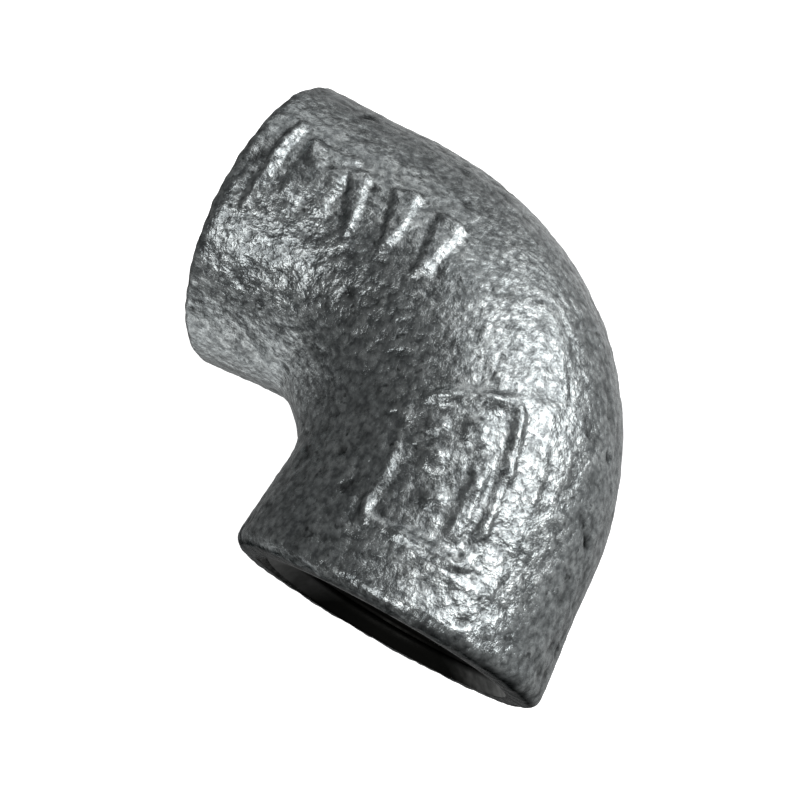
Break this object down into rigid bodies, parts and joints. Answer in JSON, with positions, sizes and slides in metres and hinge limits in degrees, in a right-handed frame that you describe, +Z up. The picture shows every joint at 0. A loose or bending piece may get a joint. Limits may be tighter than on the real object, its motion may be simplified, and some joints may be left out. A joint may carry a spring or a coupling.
{
  "type": "pipe elbow",
  "caption": "Cast 90 degree threaded pipe elbow with plain ends, a tight round bend and raised foundry marks, hot-dip galvanised.",
  "frame": {"origin": "under the middle of the elbow's outer box, on the surface it lies on; the elbow lies on its side and its two socket axes cross at (-0.0069, 0.0069, 0.0142)", "axes": "+X out of one socket, -Y out of the other, +Z up and square to the plane of the bend"},
  "size_m": [0.0422, 0.0422, 0.0289],
  "materials": {
    "galvanised_iron": "hot-dip zinc over a rough sand-cast skin, cool grey, bare metal in the cut threads"
  },
  "bodies": {
    "root": {"elbow_body": "galvanised_iron"}
  },
  "joints": []
}
